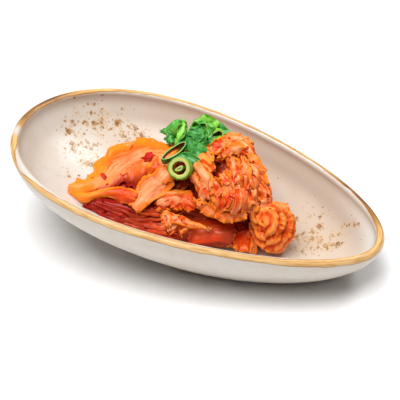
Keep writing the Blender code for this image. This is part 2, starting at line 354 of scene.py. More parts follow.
for cell, most, ragged, strength, seed in ((0.0062, 0.40, 0.22, 1.0, 3), (0.0030, 0.42, 0.3, 0.85, 5),
                                           (0.0016, 0.42, 0.4, 0.6, 7)):
    spot, halo, chance = flecks(cell, most, ragged, seed)
    body_colour = tint(times(halo, 0.6 * strength), body_colour, HALO)
    body_colour = tint(times(spot, strength), body_colour, tint(chance, FRECKLE, BROWN))

round_lip = attribute("round_the_lip")
edge_place = sums("ADD", round_lip, sums("MULTIPLY_ADD", clouds(0.007, 3, 0.4), 1.6, -0.8))
from_outer = sums("SUBTRACT", edge_place, attribute("band_outer"))
from_inner = sums("SUBTRACT", attribute("band_inner"), edge_place)
band = times(ramp(from_outer, -0.2, 0.25), ramp(from_inner, -0.2, 0.3))
band = times(band, sums("SUBTRACT", 1, attribute("bare")))
level_place = node("Mapping", {"Vector": object_places(), "Scale": (120, 120, 0)}).outputs[0]
level_place = node("SeparateXYZ", {0: level_place})
run_of = node("CombineXYZ", {0: level_place.outputs[0], 1: level_place.outputs[1], 2: round_lip}).outputs[0]
drawn = noise_of(run_of, 0.9, 3, 0.2)
gold = tint(ramp(drawn, 0.4, 0.62), GOLD, GOLD_DEEP)
rims = sums("MAXIMUM", ramp(from_outer, 0.75, 0.2), ramp(from_inner, 0.8, 0.3))
middle_line = ramp(sums("ABSOLUTE", sums("ADD", edge_place, 0.9)), 0.45, 0.1, 0, 0.45)
gold = tint(sums("MAXIMUM", times(rims, 0.7), middle_line), gold, BROWN)
darkness = times(attribute("dark"), ramp(sums("ADD", edge_place, drawn), 2.9, 1.2))
gold = tint(times(darkness, 0.9), gold, tint(ramp(drawn, 0.4, 0.6), DARK_BROWN, BROWN))
coat_with(tint(band, body_colour, gold), clouds(0.009, 2), 0.25, 0.0006)
glazed_bowl.data.materials.append(glaze)
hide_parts("bowl")
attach(glazed_bowl, "root")


# ---- The packed leaves under the heap ----
# Salted cabbage, cut up, rubbed with chilli paste and pressed together. Only its dark folds show between
# the leaves on top, dark red for the sauce and as painted shade down under them, so it is one mass of fused
# and creased lumps.

MM = 0.001
CORE_GRAIN, CORE_CREASE = 0.0011, 0.0011


def at(places):
    """Places in millimetres from the middle of the egg's long axis, in the frame's metres."""
    return np.asarray(places, float) * MM - np.array([0, MIDDLE_Y, 0])


def of_verts(mesh, kind):
    """The co or the normal of every vertex."""
    vectors = np.empty(len(mesh.vertices) * 3)
    mesh.vertices.foreach_get(kind, vectors)
    return vectors.reshape(-1, 3)


def write_layer(mesh, name, values):
    layer = mesh.attributes.new(name, "FLOAT", "POINT")
    layer.data.foreach_set("value", np.full(len(mesh.vertices), values, np.float32))


# The height of the bowl's inner face, and a little clearance, over a raster of half millimetres.
ROOM_CELL, ROOM_START, CLEARANCE = 0.0005, np.array([-0.091, -0.060]), 0.0004
turns, rises = np.meshgrid(np.linspace(0, 2 * np.pi, 1440), np.linspace(0, 1, 500), indexing="ij")
wall = inside_point(turns.ravel(), rises.ravel(), CLEARANCE)
wall = wall[np.argsort(-wall[:, 2])]
cells = np.round((wall[:, :2] - ROOM_START) / ROOM_CELL).astype(int)
ROOM = np.full((366, 242), FLOOR + CLEARANCE)
ROOM[cells[:, 0], cells[:, 1]] = wall[:, 2]


def kept_inside(places):
    """Lifts places that would sink into the bowl onto its inner face."""
    cells = np.round((places[:, :2] - ROOM_START) / ROOM_CELL).astype(int)
    cells = np.clip(cells, 0, np.array(ROOM.shape) - 1)
    places[:, 2] = np.maximum(places[:, 2], ROOM[cells[:, 0], cells[:, 1]])
    return places


LUMPS = [((-11, 5, 13), (42, 18, 11)), ((10.5, 10, 23), (19, 14, 12)), ((-30, 6, 20), (23, 13, 11)),
         ((-45, 3, 21), (9, 9, 6.5)), ((-11, 12, 30), (14, 10, 9)), ((13, 5, 31), (9, 8, 8)),
         ((12, 17, 35), (12, 9, 8)), ((20.5, 8, 29), (8, 7.5, 8)), ((33.5, 2, 11.5), (7, 7, 7))]

bm = new_mesh()
for middle, radii in LUMPS:
    lump = bmesh.ops.create_icosphere(bm, subdivisions=4, radius=MM)["verts"]
    bmesh.ops.scale(bm, vec=radii, verts=lump)
    bmesh.ops.translate(bm, vec=at(middle), verts=lump)
packed = new_piece("kimchi_packed", bm)
remesh = packed.modifiers.new("Grain", "REMESH")
remesh.mode = "VOXEL"
remesh.voxel_size = CORE_GRAIN
packed.modifiers.new("Ease", "SMOOTH").iterations = 8
mesh = bpy.data.meshes.new_from_object(packed.evaluated_get(bpy.context.evaluated_depsgraph_get()))
packed.modifiers.clear()
packed.data = mesh
places, normals = of_verts(mesh, "co"), of_verts(mesh, "normal")
crease = np.abs(hum(places * [0.4, 1, 1.3], 0.0060, 3)) + 0.4 * np.abs(hum(places, 0.0034, 4))
places += normals * ((2 * crease - 1) * CORE_CREASE)[:, None]
mesh.vertices.foreach_set("co", kept_inside(places).ravel())
mesh.update()
# Its high tone makes it dark red: sauce, and painted shade where it lies under the leaves.
for name, values in (("pale", np.clip(0.2 + 0.4 * hum(places, 0.012, 5), 0, 0.5)), ("margin", 6.0),
                     ("fold", np.clip(2.4 * crease - 1, -1, 1)), ("lengthwise", places[:, 0] * 1000),
                     ("crosswise", places[:, 1] * 1000 + places[:, 2] * 600), ("tone", 1.2)):
    write_layer(mesh, name, values)


# ---- The broad stem at the left ----
# A wide, flat cut from the foot of a leaf: a thick pale stem that thins into yellow-orange margins. Its back
# margin is frilled, and its front margin is folded over into a hem.


def on_path(points, share):
    """Places on a smooth curve through a few points, at shares of its run."""
    points = np.asarray(points, float)
    points = points[:, None] if points.ndim == 1 else points
    place = np.clip(share, 0, 1) * (len(points) - 1)
    i = np.minimum(place.astype(int), len(points) - 2)
    t = (place - i)[:, None]
    before, after = points[np.maximum(i - 1, 0)], points[np.minimum(i + 2, len(points) - 1)]
    a, b = points[i], points[i + 1]
    return 0.5 * (2 * a + (b - before) * t + (2 * before - 5 * a + 4 * b - after) * t**2
                  + (3 * a - before - 3 * b + after) * t**3)


def along_leaf(numbers, share):
    """One number or a few of them, spread evenly along a leaf, at shares of its length."""
    return on_path(np.resize(numbers, max(2, np.size(numbers))), share)[:, 0]


def unit(ways):
    return ways / np.linalg.norm(ways, axis=-1, keepdims=True)


def crumpled_paper(spot, seed):
    """Sharp crests between wide hollows, as in a crumpled leaf, from 1 on a crest to about -1."""
    spot = spot + 0.45 * np.stack([hum(spot, 1.8, seed + k) for k in range(3)], 1)
    large, small = np.abs(hum(spot, 1.0, seed + 3)), np.abs(hum(spot, 0.45, seed + 4))
    return 1 - 2.2 * np.sqrt(large ** 2 + 0.01) - 0.3 * np.sqrt(small ** 2 + 0.01)


LEAF_LAYERS = ("pale", "margin", "fold", "lengthwise", "crosswise", "tone")
AHEAD, ASIDE = 0.006, 0.02


def cut_leaf(bm, spine, half_widths, looks, seed, tone, thick=(2.4, 0.8), cup=0.0, curl=(0.0, 0.0),
             curl_from=0.35, pleats=0.0, depth=0.0, lumpy=0.0, lump=(2.6, 7.0), ruffle=(0.0, 0.0), waves=3.0,
             frill=0.0, hem=0.0, ragged=0.08, fringe=0.4, crumple=0.6, fine=0.12, grain=7.0, rib=(0.5, 0.8),
             gild=2.0, blush=0.0, blunt=14, along=90, across=26):
    """A cut leaf, as one closed skin. It follows a spine, and looks one way or turns from one to another.

    thick is in its middle and at its margins. cup bends it evenly, and curl rolls its two margins, in
    radians. Pleats run its whole length. lumpy raises soft lumps of a breadth and a length, with creases
    between them. Its margins ruffle, and its ends are fringed and, by hem, ruffled. rib is how much of its
    width is pale stem, and how pale. gild is how far in its golden margin reaches, and tone how much sauce
    it took, with painted shade added on leaves that lie in shade: each is one number, or a few from end to
    end. blush is how much more sauce and painted shade there is towards its second margin.
    """
    looks = np.atleast_2d(np.asarray(looks, float))
    looks = np.repeat(looks, 2, axis=0) if len(looks) == 1 else looks
    length = np.linalg.norm(np.diff(on_path(spine, np.linspace(0, 1, 60)), axis=0), axis=1).sum()
    breadth = np.mean(half_widths)

    def fold_phase(u, s):
        drift = hum(np.stack([u * length, s * 6, np.zeros_like(s)], 1), 9, seed + 11)
        return np.pi * pleats * s + 1.32 * drift + seed

    def lumps(u, s):
        spot = np.stack([u * length / lump[1], s * breadth / lump[0], np.full_like(s, 3 * seed)], 1)
        return crumpled_paper(spot, seed)

    def surface(u, s):
        """The middle of the leaf: u runs from 0 to 1 along it, and s from -1 to 1 across it."""
        middle = on_path(spine, u)
        ahead = unit(on_path(spine, u + 0.015) - on_path(spine, u - 0.015))
        look = unit(on_path(looks, u))
        side = unit(np.cross(ahead, look))
        up = np.cross(side, ahead)
        spot = np.stack([u * length, s * 9, np.full_like(s, 3 * seed)], 1)
        half = on_path(half_widths, u)[:, 0] * (1 + ragged * hum(spot * [1, 0.3, 1], 4.5, seed))
        reach = np.clip((np.abs(s) - curl_from) / (1 - curl_from), 0, None)
        bend = np.where(s > 0, curl[1], curl[0]) * reach
        arc = half * (1 - curl_from) * reach
        safe = np.where(np.abs(bend) < 1e-3, 1e-3, bend)
        x = np.sign(s) * (half * np.minimum(np.abs(s), curl_from) + arc * np.sin(safe) / safe)
        z = arc * (1 - np.cos(safe)) / safe + cup * half * s**2
        rise = depth * 0.6 * (1 - 0.35 * np.abs(s))
        z = z + rise * (1 - 2 * np.abs(np.sin(fold_phase(u, s))) ** 0.8)
        z = z + lumpy * lumps(u, s)
        swell = np.where(s > 0, ruffle[1], ruffle[0]) * np.abs(s) ** 2.2
        swing = 2 * np.pi * waves * u + 1.5 * hum(spot, 8, seed + 5) + 2 * np.sign(s)
        end = hem * np.clip(u / 0.3 - 2.33, 0, 1) ** 1.5
        toss = 2 * np.pi * s * half / 3.6 + 1.5 * hum(spot, 6, seed + 3)
        z = z + swell * np.sin(swing) + end * np.sin(toss)
        shift = 0.6 * (swell * np.cos(swing) + end * np.cos(toss))
        shift = shift + fringe * (2 * u - 1) ** 5 * hum(spot * [0, 1, 1], 1.7, seed + 9)
        z = z + frill * np.abs(s) ** 4 * hum(spot, 1.6, seed + 7)
        place = middle + side * x[:, None] + up * z[:, None] + ahead * shift[:, None]
        nudge = np.stack([hum(place, grain, seed + 21 + k) for k in range(3)], 1)
        wrinkle = np.stack([hum(place, grain / 2.6, seed + 31 + k) for k in range(3)], 1)
        return place + crumple * nudge + fine * wrinkle

    made = bmesh.ops.create_grid(bm, x_segments=along, y_segments=2 * across, size=0.5)["verts"]
    u = np.array([vert.co.x for vert in made]) + 0.5
    w = np.array([vert.co.y for vert in made]) + 0.5
    tri = np.where(w < 0.5, 1 - 4 * w, 4 * w - 3)
    s = 0.5 * tri + 0.5 * np.sin(np.pi / 2 * tri)
    down_it = surface(np.clip(u + AHEAD, 0, 1), s) - surface(np.clip(u - AHEAD, 0, 1), s)
    over_it = surface(u, np.clip(s + ASIDE, -1, 1)) - surface(u, np.clip(s - ASIDE, -1, 1))
    square = unit(np.cross(over_it, down_it) + 1e-9)
    middle = thick[0] * np.exp(-((s / 0.55) ** 2)) + thick[1]
    over, down = np.abs(s), np.abs(2 * u - 1)
    round_off = np.sqrt(np.clip(1 - over**8, 0, 1)) * np.sqrt(np.clip(1 - down**blunt, 0, 1))
    round_off = np.where((over > 0.9999) | (down > 0.9999), 0, round_off)
    face = np.where(w < 0.5, 1.0, -1.0)
    places = kept_inside(at(surface(u, s) + square * (face * middle * round_off / 2)[:, None]))
    half = on_path(half_widths, u)[:, 0]
    fold = np.zeros_like(u)
    if pleats:
        fold += 1 - 2 * np.abs(np.sin(fold_phase(u, s)))
    if lumpy:
        fold += lumps(u, s)
    from_margin = np.minimum(half * (1 - np.abs(s)), np.minimum(u, 1 - u) * length + 0.4)
    # The crests of folds are made paler: partly thinner sauce, partly painted light.
    set_verts(bm, made, places, {
        "pale": np.clip(rib[1] * (1 - (np.abs(s) / rib[0]) ** 2) + 0.2 * fold, 0, 1),
        "margin": from_margin / along_leaf(gild, u),
        "fold": np.clip(fold, -1, 1),
        "lengthwise": u * length + 37 * seed,
        "crosswise": s * half + 3 * seed,
        "tone": along_leaf(tone, u) + blush * np.clip(s, 0, 1) ** 2,
    })
    faces = list({face for vert in made for face in vert.link_faces})
    for face in faces:
        face.normal_update()
    if sum(face.calc_area() * face.normal.dot(face.calc_center_median()) for face in faces) < 0:
        bmesh.ops.reverse_faces(bm, faces=faces)


def leaves(bm, shared, rows):
    """Cut leaves with shared settings. A row is a seed, tone, look, half widths, spine and any of its own."""
    for seed, tone, look, half_widths, spine, *own in rows:
        cut_leaf(bm, spine, half_widths, look, seed, tone, **shared | dict(*own))


def leaves_to_piece(name, bm):
    """Closes the skins and makes them one piece."""
    bmesh.ops.remove_doubles(bm, verts=bm.verts, dist=2e-6)
    return new_piece(name, bm)


bm = new_mesh(LEAF_LAYERS)
leaves(bm, {}, [
    (1, (0.05, 0.05, 0.1, 0.15, 0.2, 0.25, 0.3, 0.4), [(-0.15, -0.45, 0.88), (-0.12, -0.4, 0.92)],
     (2, 4.4, 5.1, 7.2, 9.9, 13.6, 12.9, 10, 8.4, 8), [(-59.5, -15.5, 25.2), (-54.8, -15, 26.3),
     (-49.8, -12, 27.4), (-45.7, -7.1, 29.4), (-42.2, -0.8, 31.8), (-38, 3.3, 33.7), (-32, 5.3, 35.5),
     (-26.5, 6.4, 37), (-20.5, 7.4, 38.2), (-13, 8.5, 39.5)], dict(thick=(2.4, 1), cup=-0.06,
     curl=(0.15, -0.5), curl_from=0.6, ruffle=(1.1, 0.3), waves=7, frill=0.8, ragged=0.06, crumple=0.8,
     grain=12, fine=0.06, rib=(0.6, 0.75), gild=11, blush=1.5, along=150, across=44)),
    (2, (0, 0, 0.05, 0.15, 0.4, 0.6, 0.5, 0.4), (-0.15, -0.88, 0.58),
     (1.4, 2.5, 2.1, 2.2, 3, 3.6, 3.6, 3), [(-58, -16.8, 25), (-50.5, -18.6, 24.8), (-46, -17, 26),
     (-41, -14.6, 27.4), (-36, -13.6, 28), (-32, -14, 27.8), (-28, -14.3, 27.6), (-24.5, -15, 27.6)],
     dict(thick=(1.4, 1.2), cup=-0.25, ruffle=(0.3, 0.5), waves=4, frill=0.4, crumple=0.5, grain=9, fine=0.06,
     rib=(0.5, 0.4), gild=(6, 6, 5, 3, 1.4, 1, 1, 1), along=120, across=24)),
    (30, 1.9, (-0.1, -0.5, 0.85), (2, 3.4, 3.8, 3.4), [(-47, -10.5, 25), (-38, -8, 26), (-29, -7.5, 27.4),
     (-21, -6, 29.5)], dict(thick=(1.6, 0.8), cup=-0.1, pleats=1.5, depth=0.6, ruffle=(0.4, 0.6),
     rib=(0.6, 0.2))),
    (3, 0.15, (-0.2, -0.8, 0.65), (3, 4.8, 6.2, 6), [(-25.5, -17, 24), (-22, -12.5, 28.5), (-18, -7.5, 33),
     (-12, -3, 37)], dict(thick=(2.4, 1.2), cup=0.12, ruffle=(0.5, 0.5), waves=2, frill=0.3, fine=0.06,
     rib=(0.95, 1.2), gild=2.2, along=80)),
    (4, 0.6, (0, -0.8, 0.65), (3.5, 4.5, 4.5, 4), [(-14, -13, 25.5), (-12, -7.5, 28.5), (-9, -2, 31.5),
     (-7, 1, 34)], dict(thick=(1.6, 0.8), cup=0.1, pleats=1.5, depth=0.8, ruffle=(0.6, 0.6), rib=(0.5, 0.4),
     along=60)),
])
stems = leaves_to_piece("kimchi_stems", bm)


# ---- The low leaves along the front ----
# Long cut strips that slid down under the heap, where the sauce runs. They lie in its shade, folded
# lengthwise, with small scraps and a thick brown stem piece at their right end. Their high tones paint
# them darker, partly for the sauce and partly as painted shade, most at their left ends under the hem.

bm = new_mesh(LEAF_LAYERS)
# High tones, highest at the left ends under the hem, are partly painted shade.
leaves(bm, dict(thick=(1.4, 0.8), pleats=2.2, depth=0.9, ruffle=(0.5, 0.6), fine=0.08, gild=1.2), [
    (5, (2.3, 1.8, 1, 0.6), (0, -0.75, 0.7), (2.5, 4, 4.5, 4.5, 3.5), [(-50, -20, 23), (-40, -18.5, 21),
     (-30, -17.5, 18.5), (-19, -15.5, 16.5), (-9, -14, 14.5)], dict(rib=(0.8, 0.4))),
    (6, (1.9, 1.4, 0.8, 0.5), (0, -0.75, 0.7), (2.5, 3.5, 4, 4, 4, 3.5), [(-45, -18, 24.5),
     (-35, -16.5, 22.5), (-26, -15.5, 20.5), (-18, -13, 20.5), (-11, -11, 22.5), (-6, -8, 25.5)],
     dict(rib=(0.8, 0.5))),
    (7, (2.2, 1.7, 1.1, 0.8), (0, -0.75, 0.7), (3, 4, 4, 3), [(-40, -17, 18), (-28, -17, 15.5),
     (-15, -16, 13.5), (-4, -14.5, 12)], dict(rib=(0.8, 0.3))),
    (8, 0.8, (0, -0.75, 0.75), (2, 3, 3.5, 3), [(-27, -15, 24.5), (-20, -13.5, 22.5), (-13, -11.5, 24),
     (-8, -7, 27.5)], dict(rib=(0.6, 0.6))),
])
leaves(bm, {}, [
    (9, 0.4, (0, -0.8, 0.8), (3.5, 4.5, 5, 3.8), [(-15, -13, 26), (-9, -11, 28.5), (-3, -10, 30),
     (3.5, -10.5, 28.5)], dict(thick=(1.2, 1), cup=-0.2, lumpy=0.55, lump=(2.6, 5.5), ruffle=(1, 1), waves=5,
     frill=0.6, hem=0.8, crumple=0.9, rib=(0.8, 0.6))),
    (31, 0.3, (0, -0.6, 0.9), (1, 1.8, 1.2), [(-15, -9.5, 29.5), (-8, -8, 31.8), (-1, -7, 31.8)],
     dict(thick=(1.4, 0.8), ruffle=(0.4, 0.4), rib=(0.9, 1), along=60, across=14)),
])
SCRAP = dict(thick=(0.9, 0.7), lumpy=0.35, lump=(1.5, 3.5), ruffle=(0.5, 0.5), frill=0.4, crumple=0.7,
             fine=0.06, rib=(0.9, 1), gild=0.9, along=60, across=14)
leaves(bm, SCRAP, [
    (10, 0, (0.1, -0.6, 0.9), (1.4, 2, 1.7, 1.3, 0.5), [(-10.5, -15.5, 25.5), (-6, -16.8, 24.2),
     (-1, -16.6, 23.4), (4, -16, 22.4), (12, -14.8, 20.6)], dict(cup=0.3)),
    (11, 0, (0.2, -0.7, 0.7), (1.4, 2.6, 1.6), [(-10.5, -16.5, 24.5), (-7.5, -18.2, 23), (-6.5, -20, 20.5)],
     dict(cup=0.2)),
    (12, 0, (0.1, -0.8, 0.6), (1.6, 2, 1.2), [(-6, -21, 18.5), (-4.5, -20.4, 20.5), (-3.6, -18.5, 23)],
     dict(cup=0.4)),
    (32, 0, (0.1, -0.8, 0.6), (1.2, 2, 1.2), [(-2, -20.5, 17.5), (0.5, -18.5, 20.5), (3.5, -16.8, 22)],
     dict(cup=-0.3)),
])
# The brown stem's tone darkens it: partly sauce, partly painted shade.
leaves(bm, dict(thick=(2.6, 1.4), cup=-0.1, ruffle=(0.3, 0.3), fine=0.05, rib=(1, 0.85), gild=0.2), [
    (13, (0.8, 0.85, 0.9, 1.2), (0.1, -0.65, 0.8), (4.5, 5.3, 5.3, 4.5), [(0, -14.5, 14), (8, -12.8, 15.8),
     (15, -10.6, 17), (22, -8, 17.5)]),
])
leaves(bm, SCRAP | dict(cup=-0.3), [
    (33, 0, (0.1, -0.6, 0.8), (0.8, 1.5, 0.9), [(12, -9.5, 8), (15, -9, 8.6), (18, -8.6, 8.2)]),
    (34, 0, (0.1, -0.6, 0.8), (0.8, 1.4, 0.8), [(17.5, -9.2, 8), (19.5, -8.6, 8.8), (21.5, -8.2, 8)]),
])
low_leaves = leaves_to_piece("kimchi_low_leaves", bm)


# ---- The crumpled leaves at the right ----
# Leaf ends, thinner than the stems, balled up by hand. The balls are folded masses, and ruffled leaves with
# frilled orange margins lie over them, with a dark hollow left open between.


def folded_mass(bm, seed, tone, rib, flow, heart, radii, creases=(2.9, 6.5), height=0.9, coils=None):
    """Leaf balled up so tightly that it is one lump, with its folds running the way that flow points.

    creases is how far apart the folds are, and how long. coils is how far apart the coils are in a leaf that
    is rolled up round the flow.
    """
    made = bmesh.ops.create_icosphere(bm, subdivisions=6, radius=1)["verts"]
    ways = unit(np.array([vert.co for vert in made]))
    radii, flow = np.array(radii, float), unit(np.array(flow, float))
    base = np.array(heart, float) + radii * ways
    out = unit(ways / radii)
    level = unit(np.cross(flow, [0.3, 0.5, 1]))
    places = [base @ flow / creases[1], base @ level / creases[0], base @ np.cross(flow, level) / creases[0]]
    crest = crumpled_paper(np.stack(places, 1), seed)
    swell = 0.09 * radii.mean() * hum(base, 8, seed + 60)
    rise, margin = height * crest + swell, 2.4 - 2 * crest
    if coils:
        level = unit(np.cross(flow, [0, 0, 1]))
        run = np.arccos(np.clip(ways @ flow, -1, 1)) * radii.mean() + 0.8 * hum(base, 7, seed + 61)
        swing = np.arctan2(ways @ np.cross(level, flow), ways @ level)
        coil = (np.sqrt(run ** 2 + 9) - 3) / coils - swing / (2 * np.pi)
        ridge = np.abs(np.sin(np.pi * coil)) ** 0.6
        deep = np.clip(run / 3, 0, 1)
        rise = rise + 2.3 * (ridge - 1) * deep
        crest = 0.5 * crest + 0.7 - 2.2 * (1 - ridge) * deep
        margin = np.minimum((coil % 1) * coils + 0.3 + 4 * (1 - deep), 5.4 - 5.2 * ridge)
    # Crests are made paler and creases redder: partly sauce, partly painted light and shade.
    set_verts(bm, made, kept_inside(at(base + out * rise[:, None])), {
        "pale": np.clip(rib + 0.25 * crest, 0, 1),
        "margin": margin / 1.2,
        "fold": np.clip(crest, -1, 1),
        "lengthwise": base @ flow,
        "crosswise": base @ level,
        "tone": np.full(len(base), tone),
    })


bm = new_mesh(LEAF_LAYERS)
for seed, tone, rib, flow, heart, radii, *creases in (
        (41, 0.25, 0.45, (0.1, -0.6, -0.8), (20.5, 3, 36.5), (8.2, 8.8, 8.4)),
        (42, 0.25, 0.45, (0.1, -0.6, -0.8), (18, -3.5, 32), (9.5, 8.7, 8.6)),
        (43, 0.3, 0.45, (0.4, -0.5, -0.8), (7.5, -3, 32.5), (6.3, 6, 6.8)),
        (44, 0, 0.7, (1, 0.3, 0), (10.5, 17.5, 41.3), (11, 8, 7.2), (3.2, 5.5)),
        (45, -0.08, 0.75, (0.7, 0, -0.7), (23.5, 8.5, 37), (5.8, 7, 7), (3.6, 6)),
        (46, -0.08, 0.75, (0.5, 0, -0.8), (29, 5.5, 30), (5.5, 7, 7), (3.6, 6)),
        (47, -0.08, 0.75, (0.3, -0.3, -0.9), (26.5, -0.5, 32), (4.2, 5.6, 6.5), (3.6, 6)),
        (48, 0.05, 0.75, (0.3, -0.3, -0.9), (31.5, 1.5, 26), (5.3, 6, 5.5), (3.6, 6))):
    folded_mass(bm, seed, tone, rib, flow, heart, radii, *creases)
ends = leaves_to_piece("kimchi_leaf_ends", bm)

bm = new_mesh(LEAF_LAYERS)
leaves(bm, dict(thick=(1.5, 0.9), cup=-0.2, lumpy=0.3, lump=(2.4, 6), ruffle=(0.6, 0.6), waves=4, frill=0.4,
                hem=0.6, fine=0.1, gild=2.2, along=100, across=32), [
    (15, 0.3, (-0.2, -0.8, 0.6), (2, 2.6, 2.4, 1.6), [(-3, -1, 38.5), (1, -4, 37.5), (5, -7, 34),
     (7, -8.5, 29.5)], dict(rib=(0.8, 0.6))),
    (16, 0, (-0.1, -0.8, 0.65), (2.4, 3.3, 3.1, 2.3), [(-2.5, 3, 42), (3, -1.5, 41.3), (8, -5.8, 38),
     (12.5, -9.5, 32)], dict(rib=(1, 1.1))),
])
BAND_LOOK, BAND_HALVES = (0.15, -0.75, 0.7), (2.2, 3.3, 3.5, 3.1)
leaves(bm, dict(thick=(0.7, 0.7), cup=-0.1, curl=(-0.5, 0.7), curl_from=0.3, lumpy=0.5, lump=(2.4, 6),
                waves=4, ruffle=(0.5, 0.9), frill=0.5, hem=0.9, fringe=0.9, crumple=0.8, fine=0.1, grain=8,
                rib=(0.9, 0.6), gild=2.4, blunt=8, along=96, across=30), [
    (24, 0.15, BAND_LOOK, BAND_HALVES, [(18, 10, 46), (22.5, 4, 44), (25, -2, 39.5), (25, -7, 33)]),
    (14, 0.05, BAND_LOOK, BAND_HALVES, [(13.5, 7, 46), (18, 2, 44.6), (21.5, -5, 40), (23, -10.5, 31.5)]),
    (25, 0.1, BAND_LOOK, BAND_HALVES, [(12.5, -0.5, 43), (15.5, -3, 42), (18, -7, 38.5), (19.5, -11.5, 31)]),
    (35, 0.05, BAND_LOOK, BAND_HALVES, [(9.5, -3.5, 41), (12, -6, 39.5), (14.5, -8.8, 36),
     (16, -11.5, 30.5)]),
])
leaves(bm, dict(thick=(0.6, 0.8), cup=0.2, ruffle=(1, 1.3), frill=0.6, crumple=0.7, rib=(0.9, 0.7),
                gild=2.2, along=140, across=20), [
    (36, 0, (0.1, -0.85, 0.5), (1.5, 2.6, 2.8, 2.8, 2), [(3, -9, 31.5), (9, -12, 30), (15, -13, 29),
     (21, -12, 28.3), (27, -8.5, 29.5)], dict(waves=8)),
    (37, 0, (-0.3, -0.7, 0.7), (1.6, 2.2, 2, 1.2), [(0, 12, 46.5), (2.5, 7.5, 45.5), (5, 4, 43.5),
     (7.5, 1.5, 41)], dict(waves=4)),
])
leaves(bm, dict(thick=(0.7, 0.8), cup=-0.2, curl=(0.5, 0.5), lumpy=0.55, lump=(2.8, 5), ruffle=(1, 1),
                waves=4, frill=0.6, hem=0.9, fringe=0.9, crumple=1, fine=0.1, rib=(1, 0.9), gild=2.4,
                blunt=8, along=96, across=30), [
    (17, 0, (0, -0.6, 0.9), (2.6, 3.4, 3.8, 3), [(1, 10, 45.5), (5, 11, 48), (10, 14.5, 49), (16, 16, 48)]),
    (26, 0.05, (0.15, -0.4, 0.95), (2.5, 3.2, 3.4, 2.8), [(5, 19, 46.5), (10, 21, 47.7), (15, 21.5, 46.7),
     (20, 20, 43.5)]),
    (38, 0, (0.1, -0.7, 0.8), (1.8, 2.8, 3.2, 2.6), [(6, 7, 44.5), (10, 9.5, 47), (15, 12, 47.8),
     (20, 13, 45.5)]),
    (39, 0, (0.3, -0.5, 0.8), (2.5, 3.4, 3.2, 2.2), [(13, 18, 47.5), (17.5, 16.5, 46.7), (22, 14, 44),
     (25, 11.5, 40)]),
])
leaves(bm, dict(thick=(1, 0.7), cup=-0.2, lumpy=0.3, lump=(3, 6), ruffle=(0.7, 0.7), frill=0.4, fine=0.08,
                rib=(1.1, 1), gild=4.5, along=80), [
    (44, -0.2, (0.4, -0.7, 0.6), (1.8, 2.9, 0.9), [(18.5, 12, 45.5), (24, 12.5, 43.3), (29.8, 11.8, 40.2)],
     dict(lumpy=0.5, lump=(2, 4))),
    (45, 0, (0.5, -0.65, 0.6), (2, 3.2, 0.8), [(22.5, 9, 42), (27, 9.5, 39.3), (32.2, 9, 35.7)]),
    (46, 0, (0.35, -0.7, 0.65), (2.6, 3.2, 3.1, 2.2), [(21, 5, 43.5), (24.5, 3, 40.5), (28, 1, 36),
     (30, -1, 31)]),
    (47, 0, (0.5, -0.6, 0.65), (2.4, 3, 3, 2.2), [(26, 7.5, 38.5), (29.5, 6, 34.5), (32.5, 5, 30),
     (34, 3.5, 26)]),
    (48, 0, (0.2, -0.8, 0.55), (2.2, 2.8, 2.6, 1.8), [(24, -3, 36.5), (27.5, -4.5, 32.5), (30, -5.5, 28),
     (31.5, -6, 24)]),
    (49, 0.25, (-0.1, -0.7, 0.7), (2.5, 3.2, 3, 1.8), [(-8, 8, 43.5), (-3, 7, 44), (2, 4, 43.3),
     (6.5, 0.5, 41)]),
])
crumpled = leaves_to_piece("kimchi_crumpled_leaves", bm)


# ---- The rolled leaf and the small curled leaf ----
# A long leaf end, rolled up like a rose and lying on its side, with its open end up. In front of it a scrap
# of leaf stands curled into a cup.

bm = new_mesh(LEAF_LAYERS)
folded_mass(bm, 22, -0.06, 0.5, (-0.25, -0.7, 0.66), (38, -0.3, 19.3), (11.2, 10.2, 12.6), (2.8, 4),
            height=0.4, coils=4.6)
leaves(bm, dict(thick=(0.6, 0.8), ruffle=(0.4, 0.4), frill=0.4, crumple=0.5, fine=0.08, along=80,
                across=30), [
    (23, (0, 0.2, 0.8, 1.1), (-0.05, -0.85, 0.5), (3.6, 4.6, 4.8, 3.4), [(27.5, -9.5, 8.2),
     (27.2, -8.2, 11), (26.4, -6, 14.5), (25.2, -5.2, 17.6)], dict(cup=0.95, lumpy=0.2, lump=(2, 4),
     rib=(0.3, 0.2), gild=1.2)),
    (40, -0.2, (-0.25, -0.85, 0.45), (2, 2.4, 2.2, 1.2), [(31.2, -9, 7.5), (30.8, -8.2, 11.5),
     (29.8, -7.2, 15), (28.2, -6, 18.2)], dict(cup=-0.4, pleats=2, depth=0.6, rib=(0.9, 0.9), gild=0.9)),
    (41, 0.1, (0, -0.75, 0.65), (1.4, 2, 1.4), [(24, -10.6, 9), (26.8, -10, 9.8), (29.6, -9.4, 9)],
     dict(cup=-0.2, rib=(0.9, 0.6), gild=0.8)),
])
rolled = leaves_to_piece("kimchi_rolled_leaf", bm)


# ---- The leaves at the back ----
# The far side of the heap is cut from the same cabbage: crumpled pieces that overlap like shingles down to
# the bowl, and one long leaf under the broad stem.


